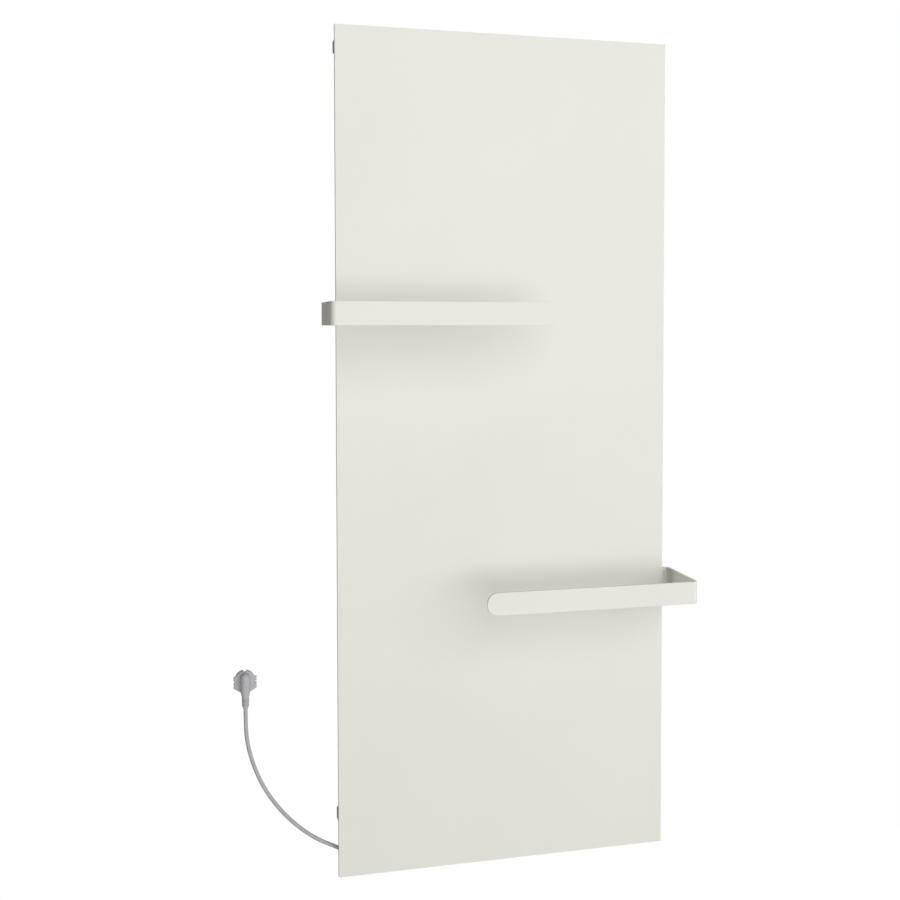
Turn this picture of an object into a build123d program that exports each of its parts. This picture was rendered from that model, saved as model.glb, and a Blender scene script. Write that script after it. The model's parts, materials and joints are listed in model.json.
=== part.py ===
from build123d import *

import math
import os

# Electric towel radiator: a flat heated panel with two flat-bar towel rails, hung on four wall brackets.
# Millimetres, +Z up. The wall is the plane y = 0, the room lies towards -Y and +X is to the right of
# someone who faces the radiator. The origin is on the wall, at the centre of the four wall screws.

# Panel
PANEL_WIDTH = 612.0
PANEL_HEIGHT = 1500.0
PANEL_DEPTH = 8.0
PANEL_FACE = 2.0
PANEL_RIM = 1.5
PANEL_CORNER = 0.8
PANEL_FACE_EDGE = 0.6
WALL_GAP = 37.0

# Wall brackets and the studs that hang the panel on them
BRACKET_WIDTH = 50.0
BRACKET_HEIGHT = 26.0
BRACKET_CORNER = 5.0
BRACKET_EDGE = 0.8
BRACKET_CORE = (10.0, 18.0, 20.0)
BRACKET_CORE_CORNER = 2.0
BRACKET_CORE_PITCH = 12.0
BRACKET_INSET = 2.0
BRACKET_BELOW_TOP = 30.0
BRACKET_ABOVE_BOTTOM = 100.0
STUD_FROM_BRACKET_SIDE = 36.0
WALL_HOLE_FROM_BRACKET_SIDE = 13.0
WALL_HOLE_RADIUS = 2.75
WALL_HEAD_RADIUS = 6.0
WALL_HOLE_FLOOR = 8.0
STUD_NECK_RADIUS = 3.2
STUD_HEAD_RADIUS = 6.0
STUD_HEAD_DEPTH = 3.3
KEYWAY_LIP = 5.0
KEYWAY_DEPTH = 9.5
KEYWAY_PLAY = 0.3
LOCK_SCREW_RADIUS = 2.0
LOCK_SCREW_RISE = 9.3
LOCK_SCREW_BEHIND_LIP = 2.4
LOCK_SCREW_SOCKET = (2.0, 2.5)
STUD_EDGE = 0.6
STUD_SOCKET = (4.0, 2.4)

# Towel bars
BAR_HEIGHT = 40.0
BAR_THICKNESS = 5.0
BAR_BEND_RADIUS = 10.0
BAR_LENGTH = 392.0
BAR_OUTSIDE_PANEL = 23.0
BAR_IN_FRONT = 115.0
BAR_TAB_BEHIND_FRONT = 27.0
BAR_TAB_REACH = 72.0
BAR_TAB_CORNER = 6.0
BAR_EDGE = 0.6
BAR_SCREWS_FROM_EDGE = (30.0, 58.0)
UPPER_BAR_BELOW_TOP = 500.0
LOWER_BAR_BELOW_TOP = 1000.0

# Threaded bosses and screws
BOSS_RADIUS = 7.0
BOSS_CLEARANCE = 0.3
THREAD_CLEARANCE = 0.05
M5_RADIUS = 2.5
M5_HOLE_RADIUS = 2.75
M4_RADIUS = 2.0
M3_RADIUS = 1.5
M25_RADIUS = 1.25
THREAD_DEPTH = 5.0
SCREW_CLEARANCE = 0.2
SHEET_BOSS_RADIUS = 4.2
WASHER_RADIUS = 5.5
WASHER_THICKNESS = 1.0
BAR_SCREW_LENGTH = 25.0

# Heating layer
HEATER_WIDTH = 7.0
HEATER_THICKNESS = 2.4
HEATER_PITCH = 40.0
HEATER_RUNS = 14
HEATER_BEND = 19.0
HEATER_TURN_HEIGHT = 660.0
HEATER_TAIL_HEIGHT = 675.0
HEATER_TAIL_GAP = 16.0
FOIL_MARGIN = 6.0
INSULATION_SIDE_MARGIN = 20.0
INSULATION_END_MARGIN = 23.0
CUTOUT_SIZE = (15.0, 7.0, 3.8)
CUTOUT_WINDOW = (20.0, 10.0)
CUTOUT_TAG = (2.0, 5.0, 0.5)
CUTOUT_TAG_PITCH = 8.0
FOIL_THICKNESS = 0.3
BACK_SHEET_THICKNESS = 1.0
BACK_SHEET_PLAY = 0.3
LEAD_RADIUS = 1.1

# Receiver, behind the panel's lower left corner
RECEIVER_WIDTH = 130.0
RECEIVER_HEIGHT = 60.0
RECEIVER_DEPTH = 28.0
RECEIVER_WALL = 2.0
RECEIVER_FROM_LEFT = 140.0
RECEIVER_ABOVE_BOTTOM = 42.0
RECEIVER_AXIS_OUT = 23.0
RECEIVER_CORNER = 4.0
LEAD_HOLE_RADIUS = 6.2
LID_POST_RADIUS = 3.0
LID_EDGE = 0.7
LID_LIP = (1.2, 1.4)
VENT_SLOT = (24.0, 2.5)
VENT_PITCH = 6.0
VENT_COUNT = 9
BOARD_OUT = 27.0
BOARD_THICKNESS = 1.6
SWITCH_X = -178.0
BUTTON_X = -135.0
LENS_X = -124.0
BUTTON_RADIUS = 2.5
BUTTON_TRAVEL = 0.8
ROCKER_TILT = 7.0
ROCKER_RADIUS = 8.6
ROCKER_WIDTH = 9.6
ROCKER_PIN_RADIUS = 1.0
BEZEL_SIZE = (22.0, 16.0)
BEZEL_DEPTH = 1.6
SWITCH_SIZE = (19.2, 13.2, 15.0)
SWITCH_WELL_DEPTH = 8.0
BUTTON_FLANGE_RADIUS = 3.6
BUTTON_NOSE_RADIUS = 1.1

# Mains cord and plug
CORD_DIAMETER = 7.0
CORD_HEIGHT_AT_GLAND = 30.0
CORD_ROUTE = [
    (-466, -43, -468.5),
    (-466, -43, -490),
    (-465, -42, -519),
    (-458.5, -40, -553),
    (-447, -37.5, -588),
    (-431, -35, -622),
    (-406, -32.5, -657),
    (-376, -29.5, -689),
    (-341, -27, -717),
    (-306, -25, -738),
    (-280, -23, -755),
    (-252, -23, -755),
]
PLUG_CENTRE_HEIGHT = -424.0
PLUG_BASE_OUT = 20.0
PLUG_FLANGE_DEPTH = 16.0
PLUG_RADIUS = 18.5
PLUG_BASE_RADIUS = 17.6
PLUG_RIM_DEPTH = 5.0
PLUG_SHOULDER = 19.6
PLUG_SHOULDER_HEIGHTS = (9.2, -11.2)
PLUG_CHIN = (7.7, -18.2)
PLUG_EDGE = 1.0
GUIDE_NOTCH = (4.0, 3.0)
EARTH_SLOT = (5.0, 6.0)
EARTH_CONTACT = (4.4, 0.8, 12.8)
PIN_RADIUS = 2.4
PIN_LENGTH = 19.0
PIN_SPACING = 19.0
BARREL_RADIUS = 7.75
BARREL_DOME_ABOVE_CENTRE = 9.0
RELIEF_TOP_RADIUS = 6.4
RELIEF_MIDDLE_RADIUS = 6.0
RELIEF_TOP_BELOW_CENTRE = 23.0
RELIEF_TAPER_START = 39.5
GROOVE_SIZE = (2.4, 1.4)
GROOVE_PITCH = 4.2
GROOVE_FIRST_BELOW_CENTRE = 28.4

# Worked out from the sizes above
BRACKET_SPACING_Z = PANEL_HEIGHT - BRACKET_BELOW_TOP - BRACKET_ABOVE_BOTTOM
PANEL_TOP = BRACKET_SPACING_Z / 2 + BRACKET_BELOW_TOP
PANEL_BOTTOM = PANEL_TOP - PANEL_HEIGHT
PANEL_CENTRE = (PANEL_TOP + PANEL_BOTTOM) / 2
PANEL_SIDE = PANEL_WIDTH / 2
PANEL_FRONT_OUT = WALL_GAP + PANEL_DEPTH
FACE_INNER_OUT = PANEL_FRONT_OUT - PANEL_FACE
FOIL_OUT = FACE_INNER_OUT - HEATER_THICKNESS
BOARD_TOP_OUT = FOIL_OUT - FOIL_THICKNESS
SHEET_OUT = WALL_GAP + BACK_SHEET_THICKNESS
LOCK_SCREW_OUT = WALL_GAP - KEYWAY_LIP - LOCK_SCREW_BEHIND_LIP
BRACKET_X = PANEL_SIDE - BRACKET_INSET - BRACKET_WIDTH / 2
STUD_X = PANEL_SIDE - BRACKET_INSET - STUD_FROM_BRACKET_SIDE
WALL_HOLE_X = PANEL_SIDE - BRACKET_INSET - WALL_HOLE_FROM_BRACKET_SIDE
UPPER_BAR_Z = PANEL_TOP - UPPER_BAR_BELOW_TOP
LOWER_BAR_Z = PANEL_TOP - LOWER_BAR_BELOW_TOP
BAR_FRONT_OUT = PANEL_FRONT_OUT + BAR_IN_FRONT
BAR_TAB_OUT = PANEL_FRONT_OUT - BAR_TAB_BEHIND_FRONT
RECEIVER_X = RECEIVER_FROM_LEFT - PANEL_SIDE
RECEIVER_Z = PANEL_BOTTOM + RECEIVER_ABOVE_BOTTOM
RECEIVER_LEFT = RECEIVER_X - RECEIVER_WIDTH / 2
RECEIVER_BOTTOM = RECEIVER_Z - RECEIVER_HEIGHT / 2
LID_OUT = WALL_GAP - RECEIVER_DEPTH
LID_INNER_OUT = LID_OUT + RECEIVER_WALL
CORD_RADIUS = CORD_DIAMETER / 2
CORD_Z = PANEL_BOTTOM + CORD_HEIGHT_AT_GLAND
PLUG_X = CORD_ROUTE[0][0]
BARREL_OUT = -CORD_ROUTE[0][1]

BRACKET_PLACES = {
    "wall_bracket_upper_left": (-1, BRACKET_SPACING_Z / 2),
    "wall_bracket_upper_right": (1, BRACKET_SPACING_Z / 2),
    "wall_bracket_lower_left": (-1, -BRACKET_SPACING_Z / 2),
    "wall_bracket_lower_right": (1, -BRACKET_SPACING_Z / 2),
}
STUD_PLACES = [(side * STUD_X, z) for side, z in BRACKET_PLACES.values()]
BAR_SCREW_PLACES = [
    (side * (PANEL_SIDE - inset), z)
    for side, z in ((-1, UPPER_BAR_Z), (1, LOWER_BAR_Z))
    for inset in BAR_SCREWS_FROM_EDGE
]
RECEIVER_SCREW_PLACES = [(RECEIVER_X + dx, RECEIVER_Z) for dx in (-44.0, 44.0)]
LID_SCREW_PLACES = [
    (RECEIVER_X + dx, RECEIVER_Z + dz) for dx in (-55.0, 55.0) for dz in (-24.5, 24.5)
]
SHEET_SCREW_PLACES = [
    (side * (PANEL_SIDE - 13.0), PANEL_CENTRE + dz)
    for side in (-1, 1)
    for dz in (-495.0, -165.0, 165.0, 495.0)
] + [(0.0, PANEL_TOP - 15.0), (0.0, PANEL_BOTTOM + 15.0)]
LEAD_HOLE = (-216.0, RECEIVER_Z + 16.2)
CUTOUT_PLACE = (-120.0, -600.0)

os.makedirs("parts", exist_ok=True)


def at_distance(out):
    """A plane parallel to the wall, at this distance in front of it, whose normal points into the room."""
    return Plane.XZ.offset(out)


def save(part, name):
    part.label = name
    export_step(part, f"parts/{name}.step")


def panel_outline(width, height):
    with Locations((0, PANEL_CENTRE)):
        Rectangle(width, height)


def holes_for_bosses(places):
    with Locations(places):
        Circle(BOSS_RADIUS + BOSS_CLEARANCE, mode=Mode.SUBTRACT)


def screws(places, seat_out, radius, length, head_radius, head_depth, socket=0.0):
    """Screws driven from the wall side, with their heads seated on the plane at seat_out."""
    with BuildPart() as group:
        with BuildSketch(at_distance(seat_out)):
            with Locations(places):
                Circle(radius)
        extrude(amount=length)
        with BuildSketch(at_distance(seat_out)):
            with Locations(places):
                Circle(head_radius)
        extrude(amount=-head_depth)
        rims = group.edges().filter_by(GeomType.CIRCLE).group_by(Axis.Y)[-1]
        chamfer(rims, head_depth * 0.35)
        if socket:
            with BuildSketch(at_distance(seat_out - head_depth)):
                with Locations(places):
                    RegularPolygon(socket / 2, 6, major_radius=False)
            extrude(amount=head_depth * 0.8, mode=Mode.SUBTRACT)
    return group.part


# Front panel: a tray with a thick face, a thin rim and welded threaded bosses
with BuildPart() as front_panel:
    with BuildSketch(at_distance(WALL_GAP)):
        panel_outline(PANEL_WIDTH, PANEL_HEIGHT)
    extrude(amount=PANEL_DEPTH)
    fillet(front_panel.edges().filter_by(Axis.Y), PANEL_CORNER)
    fillet(front_panel.faces().sort_by(Axis.Y)[0].edges(), PANEL_FACE_EDGE)
    with BuildSketch(at_distance(WALL_GAP)):
        panel_outline(PANEL_WIDTH - 2 * PANEL_RIM, PANEL_HEIGHT - 2 * PANEL_RIM)
    extrude(amount=PANEL_DEPTH - PANEL_FACE, mode=Mode.SUBTRACT)
    with BuildSketch(at_distance(WALL_GAP)):
        with Locations(STUD_PLACES + BAR_SCREW_PLACES):
            Circle(BOSS_RADIUS)
            Circle(M5_RADIUS + THREAD_CLEARANCE, mode=Mode.SUBTRACT)
        with Locations(RECEIVER_SCREW_PLACES):
            Circle(BOSS_RADIUS)
            Circle(M4_RADIUS + THREAD_CLEARANCE, mode=Mode.SUBTRACT)
    extrude(amount=PANEL_DEPTH - PANEL_FACE)
    with BuildSketch(at_distance(SHEET_OUT)):
        with Locations(SHEET_SCREW_PLACES):
            Circle(SHEET_BOSS_RADIUS)
            Circle(M3_RADIUS + THREAD_CLEARANCE, mode=Mode.SUBTRACT)
    extrude(amount=FACE_INNER_OUT - SHEET_OUT)
save(front_panel.part, "front_panel")

# Heating cable: one flat ribbon laid in upright runs, with both ends brought to the receiver's corner
run_x = [(i - (HEATER_RUNS - 1) / 2) * HEATER_PITCH for i in range(HEATER_RUNS)]
cable_points = [(LEAD_HOLE[0] - HEATER_TAIL_GAP, -HEATER_TAIL_HEIGHT), (run_x[0], -HEATER_TAIL_HEIGHT)]
for i, x in enumerate(run_x[:-1]):
    turn = HEATER_TURN_HEIGHT if i % 2 == 0 else -HEATER_TURN_HEIGHT
    cable_points += [(x, turn), (run_x[i + 1], turn)]
cable_points += [(run_x[-1], -HEATER_TAIL_HEIGHT), (LEAD_HOLE[0] + HEATER_TAIL_GAP, -HEATER_TAIL_HEIGHT)]
with BuildPart() as heating_cable:
    with BuildSketch(at_distance(FOIL_OUT)):
        with BuildLine():
            FilletPolyline(*cable_points, radius=HEATER_BEND)
        trace(line_width=HEATER_WIDTH)
    extrude(amount=HEATER_THICKNESS)
save(heating_cable.part, "heating_cable")

# Foil that holds the cable against the face and spreads its heat
with BuildPart() as heater_foil:
    with BuildSketch(at_distance(BOARD_TOP_OUT)):
        Rectangle(2 * (run_x[-1] + FOIL_MARGIN), 2 * (HEATER_TAIL_HEIGHT + FOIL_MARGIN))
        holes_for_bosses(STUD_PLACES + BAR_SCREW_PLACES)
        with Locations(CUTOUT_PLACE):
            Rectangle(*CUTOUT_WINDOW, mode=Mode.SUBTRACT)
    extrude(amount=FOIL_THICKNESS)
save(heater_foil.part, "heater_foil")

# Insulation board behind the foil
with BuildPart() as insulation_board:
    with BuildSketch(at_distance(SHEET_OUT)):
        panel_outline(PANEL_WIDTH - 2 * INSULATION_SIDE_MARGIN, PANEL_HEIGHT - 2 * INSULATION_END_MARGIN)
        holes_for_bosses(STUD_PLACES + BAR_SCREW_PLACES + RECEIVER_SCREW_PLACES)
        with Locations(CUTOUT_PLACE):
            Rectangle(*CUTOUT_WINDOW, mode=Mode.SUBTRACT)
        with Locations(LEAD_HOLE):
            Circle(8, mode=Mode.SUBTRACT)
    extrude(amount=BOARD_TOP_OUT - SHEET_OUT)
save(insulation_board.part, "insulation_board")

# Thermal cut-out, clamped to the face between two runs of the cable
with BuildPart() as thermal_cutout:
    with BuildSketch(at_distance(FACE_INNER_OUT)):
        with Locations(CUTOUT_PLACE):
            RectangleRounded(CUTOUT_SIZE[0], CUTOUT_SIZE[1], 1.5)
    extrude(amount=-CUTOUT_SIZE[2])
    with BuildSketch(at_distance(FACE_INNER_OUT - 1.0)):
        tag_middle = CUTOUT_PLACE[1] - (CUTOUT_SIZE[1] + CUTOUT_TAG[1] - 1) / 2
        with Locations((CUTOUT_PLACE[0], tag_middle)):
            with GridLocations(CUTOUT_TAG_PITCH, 0, 2, 1):
                Rectangle(CUTOUT_TAG[0], CUTOUT_TAG[1])
    extrude(amount=-CUTOUT_TAG[2])
save(thermal_cutout.part, "thermal_cutout")

# Back sheet, flush inside the rim
with BuildPart() as back_sheet:
    with BuildSketch(at_distance(WALL_GAP)):
        inner = 2 * (PANEL_RIM + BACK_SHEET_PLAY)
        panel_outline(PANEL_WIDTH - inner, PANEL_HEIGHT - inner)
        holes_for_bosses(STUD_PLACES + BAR_SCREW_PLACES + RECEIVER_SCREW_PLACES)
        with Locations(SHEET_SCREW_PLACES):
            Circle(M3_RADIUS + SCREW_CLEARANCE, mode=Mode.SUBTRACT)
        with Locations(LEAD_HOLE):
            Circle(LEAD_HOLE_RADIUS, mode=Mode.SUBTRACT)
    extrude(amount=BACK_SHEET_THICKNESS)
save(back_sheet.part, "back_sheet")
save(screws(SHEET_SCREW_PLACES, WALL_GAP, M3_RADIUS, THREAD_DEPTH, 2.75, 1.7), "back_sheet_screws")


def wall_bracket(side, height):
    """Moulded block with a keyway open at the top, a deep hole for the wall screw and a lock screw hole."""
    slot_radius = STUD_NECK_RADIUS + KEYWAY_PLAY
    pocket_radius = STUD_HEAD_RADIUS + 2 * KEYWAY_PLAY
    seat = height + KEYWAY_PLAY - THREAD_CLEARANCE
    with BuildPart() as bracket:
        with BuildSketch(at_distance(0)):
            with Locations((side * BRACKET_X, height)):
                RectangleRounded(BRACKET_WIDTH, BRACKET_HEIGHT, BRACKET_CORNER)
        extrude(amount=WALL_GAP)
        chamfer(bracket.faces().sort_by(Axis.Y)[0].edges(), BRACKET_EDGE)
        for radius, near, deep in (
            (slot_radius, WALL_GAP, KEYWAY_LIP),
            (pocket_radius, WALL_GAP - KEYWAY_LIP, KEYWAY_DEPTH - KEYWAY_LIP),
        ):
            with BuildSketch(at_distance(near)):
                with Locations((side * STUD_X, seat)):
                    Circle(radius)
                    Rectangle(2 * radius, BRACKET_HEIGHT, align=(Align.CENTER, Align.MIN))
            extrude(amount=-deep, mode=Mode.SUBTRACT)
        with BuildSketch(at_distance(0)):
            with Locations((side * WALL_HOLE_X, height)):
                Circle(WALL_HOLE_RADIUS)
        extrude(amount=WALL_HOLE_FLOOR, mode=Mode.SUBTRACT)
        with BuildSketch(at_distance(WALL_HOLE_FLOOR)):
            with Locations((side * WALL_HOLE_X, height)):
                Circle(WALL_HEAD_RADIUS)
        extrude(amount=WALL_GAP, mode=Mode.SUBTRACT)
        with BuildSketch(at_distance(0)):
            with Locations((side * (STUD_X - 1), height)):
                with GridLocations(BRACKET_CORE_PITCH, 0, 2, 1):
                    RectangleRounded(BRACKET_CORE[0], BRACKET_CORE[1], BRACKET_CORE_CORNER)
        extrude(amount=BRACKET_CORE[2], mode=Mode.SUBTRACT)
        with BuildSketch(Plane.YZ.offset(side * STUD_X)):
            with Locations((-LOCK_SCREW_OUT, height + LOCK_SCREW_RISE)):
                Circle(LOCK_SCREW_RADIUS + THREAD_CLEARANCE)
        extrude(amount=side * BRACKET_WIDTH, mode=Mode.SUBTRACT)
    return bracket.part


for name, (side, height) in BRACKET_PLACES.items():
    save(wall_bracket(side, height), name)

# Hanger studs: threaded into the panel, with heads that drop into the brackets' keyways
with BuildPart() as hanger_studs:
    neck = KEYWAY_LIP + 0.2
    for radius, start, length in (
        (M5_RADIUS, WALL_GAP, THREAD_DEPTH),
        (STUD_NECK_RADIUS, WALL_GAP, -neck),
        (STUD_HEAD_RADIUS, WALL_GAP - neck, -STUD_HEAD_DEPTH),
    ):
        with BuildSketch(at_distance(start)):
            with Locations(STUD_PLACES):
                Circle(radius)
        extrude(amount=length)
    chamfer(hanger_studs.edges().filter_by(GeomType.CIRCLE).group_by(Axis.Y)[-1], STUD_EDGE)
    with BuildSketch(at_distance(WALL_GAP - neck - STUD_HEAD_DEPTH)):
        with Locations(STUD_PLACES):
            RegularPolygon(STUD_SOCKET[0] / 2, 6, major_radius=False)
    extrude(amount=STUD_SOCKET[1], mode=Mode.SUBTRACT)
save(hanger_studs.part, "hanger_studs")

# Lock screws: long grub screws through the upper brackets' outer sides, over the studs' heads
with BuildPart() as lock_screws:
    for side in (-1, 1):
        with BuildSketch(Plane.YZ.offset(side * (STUD_X - 2))):
            with Locations((-LOCK_SCREW_OUT, BRACKET_SPACING_Z / 2 + LOCK_SCREW_RISE)):
                Circle(LOCK_SCREW_RADIUS)
        extrude(amount=side * (STUD_FROM_BRACKET_SIDE + 1))
        with BuildSketch(Plane.YZ.offset(side * (STUD_X + STUD_FROM_BRACKET_SIDE - 1))):
            with Locations((-LOCK_SCREW_OUT, BRACKET_SPACING_Z / 2 + LOCK_SCREW_RISE)):
                RegularPolygon(LOCK_SCREW_SOCKET[0] / 2, 6, major_radius=False)
        extrude(amount=-side * LOCK_SCREW_SOCKET[1], mode=Mode.SUBTRACT)
save(lock_screws.part, "lock_screws")


def towel_bar(side, height):
    """Flat bar bent twice: a tab behind the panel, a return round its edge and a long strip in front."""
    half = BAR_THICKNESS / 2
    return_x = side * (PANEL_SIDE + BAR_OUTSIDE_PANEL - half)
    free_end = side * (PANEL_SIDE + BAR_OUTSIDE_PANEL - BAR_LENGTH)
    tab_end = side * (PANEL_SIDE - BAR_TAB_REACH)
    strip_y = -(BAR_FRONT_OUT - half)
    tab_y = -(BAR_TAB_OUT + half)
    with BuildPart() as bar:
        with BuildSketch(Plane.XY.offset(height - BAR_HEIGHT / 2)):
            with BuildLine():
                FilletPolyline(
                    (tab_end, tab_y),
                    (return_x, tab_y),
                    (return_x, strip_y),
                    (free_end, strip_y),
                    radius=BAR_BEND_RADIUS - half,
                )
            trace(line_width=BAR_THICKNESS)
        extrude(amount=BAR_HEIGHT)
        # The strip's free end is rounded to half its height
        with BuildSketch(at_distance(0)):
            round_x = free_end + side * BAR_HEIGHT / 2
            far_x = return_x + side * BAR_THICKNESS
            with Locations(((round_x + far_x) / 2, height)):
                Rectangle(abs(far_x - round_x), BAR_HEIGHT)
            with Locations((round_x, height)):
                Circle(BAR_HEIGHT / 2)
        extrude(amount=BAR_FRONT_OUT + 1, mode=Mode.INTERSECT)
        tab_corners = bar.edges().filter_by(Axis.Y).filter_by_position(
            Axis.X, *sorted((tab_end - 0.1, tab_end + 0.1))
        )
        fillet(tab_corners, BAR_TAB_CORNER)
        outline = bar.edges().filter_by(Axis.Z, reverse=True).filter_by(Axis.Y, reverse=True)
        fillet(outline, BAR_EDGE)
        with BuildSketch(at_distance(BAR_TAB_OUT)):
            with Locations([(side * (PANEL_SIDE - inset), height) for inset in BAR_SCREWS_FROM_EDGE]):
                Circle(M5_HOLE_RADIUS)
        extrude(amount=BAR_THICKNESS, mode=Mode.SUBTRACT)
    return bar.part


save(towel_bar(-1, UPPER_BAR_Z), "towel_bar_upper")
save(towel_bar(1, LOWER_BAR_Z), "towel_bar_lower")

# Spacers, washers and screws that hold the bars' tabs to the panel's bosses
with BuildPart() as bar_spacers:
    with BuildSketch(at_distance(BAR_TAB_OUT + BAR_THICKNESS)):
        with Locations(BAR_SCREW_PLACES):
            Circle(BOSS_RADIUS)
            Circle(M5_HOLE_RADIUS, mode=Mode.SUBTRACT)
    extrude(amount=WALL_GAP - BAR_TAB_OUT - BAR_THICKNESS)
save(bar_spacers.part, "bar_spacers")
with BuildPart() as bar_washers:
    with BuildSketch(at_distance(BAR_TAB_OUT)):
        with Locations(BAR_SCREW_PLACES):
            Circle(WASHER_RADIUS)
            Circle(M5_HOLE_RADIUS, mode=Mode.SUBTRACT)
    extrude(amount=-WASHER_THICKNESS)
save(bar_washers.part, "bar_washers")
bar_screw_seat = BAR_TAB_OUT - WASHER_THICKNESS
save(screws(BAR_SCREW_PLACES, bar_screw_seat, M5_RADIUS, BAR_SCREW_LENGTH, 4.75, 2.75, socket=3), "bar_screws")

# Receiver housing: an open moulded box against the back sheet
with BuildPart() as receiver_housing:
    with BuildSketch(at_distance(WALL_GAP)):
        with Locations((RECEIVER_X, RECEIVER_Z)):
            RectangleRounded(RECEIVER_WIDTH, RECEIVER_HEIGHT, RECEIVER_CORNER)
    extrude(amount=LID_INNER_OUT - WALL_GAP)
    with BuildSketch(at_distance(LID_INNER_OUT)):
        with Locations((RECEIVER_X, RECEIVER_Z)):
            RectangleRounded(
                RECEIVER_WIDTH - 2 * RECEIVER_WALL,
                RECEIVER_HEIGHT - 2 * RECEIVER_WALL,
                RECEIVER_CORNER - RECEIVER_WALL,
            )
    extrude(amount=WALL_GAP - RECEIVER_WALL - LID_INNER_OUT, mode=Mode.SUBTRACT)
    # Lid posts, with their screw holes
    with BuildSketch(at_distance(LID_INNER_OUT)):
        with Locations(LID_SCREW_PLACES):
            Circle(LID_POST_RADIUS)
            Circle(M25_RADIUS + THREAD_CLEARANCE, mode=Mode.SUBTRACT)
    extrude(amount=WALL_GAP - RECEIVER_WALL - LID_INNER_OUT)
    # Board posts, stepped so that their tips pass through the board
    board_posts = [(RECEIVER_X + dx, RECEIVER_Z + dz) for dx in (-37, 46) for dz in (-10.2, 24.2)]
    with BuildSketch(at_distance(BOARD_OUT)):
        with Locations(board_posts):
            Circle(2.4)
    extrude(amount=WALL_GAP - RECEIVER_WALL - BOARD_OUT)
    with BuildSketch(at_distance(BOARD_OUT)):
        with Locations(board_posts):
            Circle(1.0)
    extrude(amount=-(BOARD_THICKNESS + 0.8))
    # Holes: panel screws and leads in the floor, cord gland in the left wall, controls in the bottom wall
    with BuildSketch(at_distance(WALL_GAP)):
        with Locations(RECEIVER_SCREW_PLACES):
            Circle(M4_RADIUS + SCREW_CLEARANCE)
        with Locations(LEAD_HOLE):
            Circle(LEAD_HOLE_RADIUS)
    extrude(amount=-RECEIVER_WALL, mode=Mode.SUBTRACT)
    with BuildSketch(Plane.YZ.offset(RECEIVER_LEFT)):
        with Locations((-RECEIVER_AXIS_OUT, CORD_Z)):
            Circle(8.2)
    extrude(amount=RECEIVER_WALL, mode=Mode.SUBTRACT)
    with BuildSketch(Plane.XY.offset(RECEIVER_BOTTOM)):
        with Locations((SWITCH_X, -RECEIVER_AXIS_OUT)):
            Rectangle(SWITCH_SIZE[0] + 2 * SCREW_CLEARANCE, SWITCH_SIZE[1] + 2 * SCREW_CLEARANCE)
        with Locations((BUTTON_X, -RECEIVER_AXIS_OUT)):
            Circle(BUTTON_RADIUS + 0.1)
        with Locations((LENS_X, -RECEIVER_AXIS_OUT)):
            Circle(1.8)
    extrude(amount=RECEIVER_WALL, mode=Mode.SUBTRACT)
save(receiver_housing.part, "receiver_housing")

# Receiver lid, on the wall side, with cooling slots and a locating lip
with BuildPart() as receiver_lid:
    with BuildSketch(at_distance(LID_OUT)):
        with Locations((RECEIVER_X, RECEIVER_Z)):
            RectangleRounded(RECEIVER_WIDTH, RECEIVER_HEIGHT, RECEIVER_CORNER)
        with Locations(LID_SCREW_PLACES):
            Circle(M25_RADIUS + SCREW_CLEARANCE, mode=Mode.SUBTRACT)
        with Locations((RECEIVER_X, RECEIVER_Z + 4)):
            with GridLocations(VENT_PITCH, 0, VENT_COUNT, 1):
                SlotOverall(*VENT_SLOT, rotation=90, mode=Mode.SUBTRACT)
    extrude(amount=RECEIVER_WALL)
    chamfer(receiver_lid.faces().sort_by(Axis.Y)[-1].outer_wire().edges(), LID_EDGE)
    lip = RECEIVER_WALL + 0.2
    with BuildSketch(at_distance(LID_INNER_OUT)):
        with Locations((RECEIVER_X, RECEIVER_Z)):
            with GridLocations(0, RECEIVER_HEIGHT - 2 * lip - LID_LIP[0], 1, 2):
                Rectangle(90, LID_LIP[0])
            with GridLocations(RECEIVER_WIDTH - 2 * lip - LID_LIP[0], 0, 2, 1):
                Rectangle(LID_LIP[0], 34)
    extrude(amount=LID_LIP[1])
save(receiver_lid.part, "receiver_lid")
save(screws(LID_SCREW_PLACES, LID_OUT, M25_RADIUS, 9, 2.3, 1.5), "receiver_lid_screws")
save(
    screws(RECEIVER_SCREW_PLACES, WALL_GAP - RECEIVER_WALL, M4_RADIUS, 7, 3.5, 2.4, socket=2.5),
    "receiver_mounting_screws",
)

# Circuit board and what it carries
BOARD_BACK = BOARD_OUT - BOARD_THICKNESS
with BuildPart() as circuit_board:
    with BuildSketch(at_distance(BOARD_BACK)):
        with Locations((RECEIVER_X + 5, RECEIVER_Z + 7)):
            RectangleRounded(90, 38, 1)
        with Locations(board_posts):
            Circle(1.2, mode=Mode.SUBTRACT)
    extrude(amount=BOARD_THICKNESS)
save(circuit_board.part, "circuit_board")
with BuildPart() as relay:
    with BuildSketch(at_distance(BOARD_BACK)):
        with Locations((RECEIVER_X - 4, RECEIVER_Z + 8)):
            RectangleRounded(20, 15, 1)
    extrude(amount=-12)
    chamfer(relay.faces().sort_by(Axis.Y)[-1].edges(), 0.6)
save(relay.part, "relay")
with BuildPart() as supply_capacitor:
    with BuildSketch(at_distance(BOARD_BACK)):
        with Locations((RECEIVER_X + 21, RECEIVER_Z + 8)):
            Circle(5)
    extrude(amount=-11.5)
    fillet(supply_capacitor.faces().sort_by(Axis.Y)[-1].edges(), 0.8)
save(supply_capacitor.part, "supply_capacitor")
TERMINAL_LEFT = RECEIVER_X - 38
MAINS_TERMINALS = [RECEIVER_Z + dz for dz in (6.0, 1.0, -4.0)]
HEATER_TERMINALS = [RECEIVER_Z + dz for dz in (14.0, 18.5)]
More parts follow.
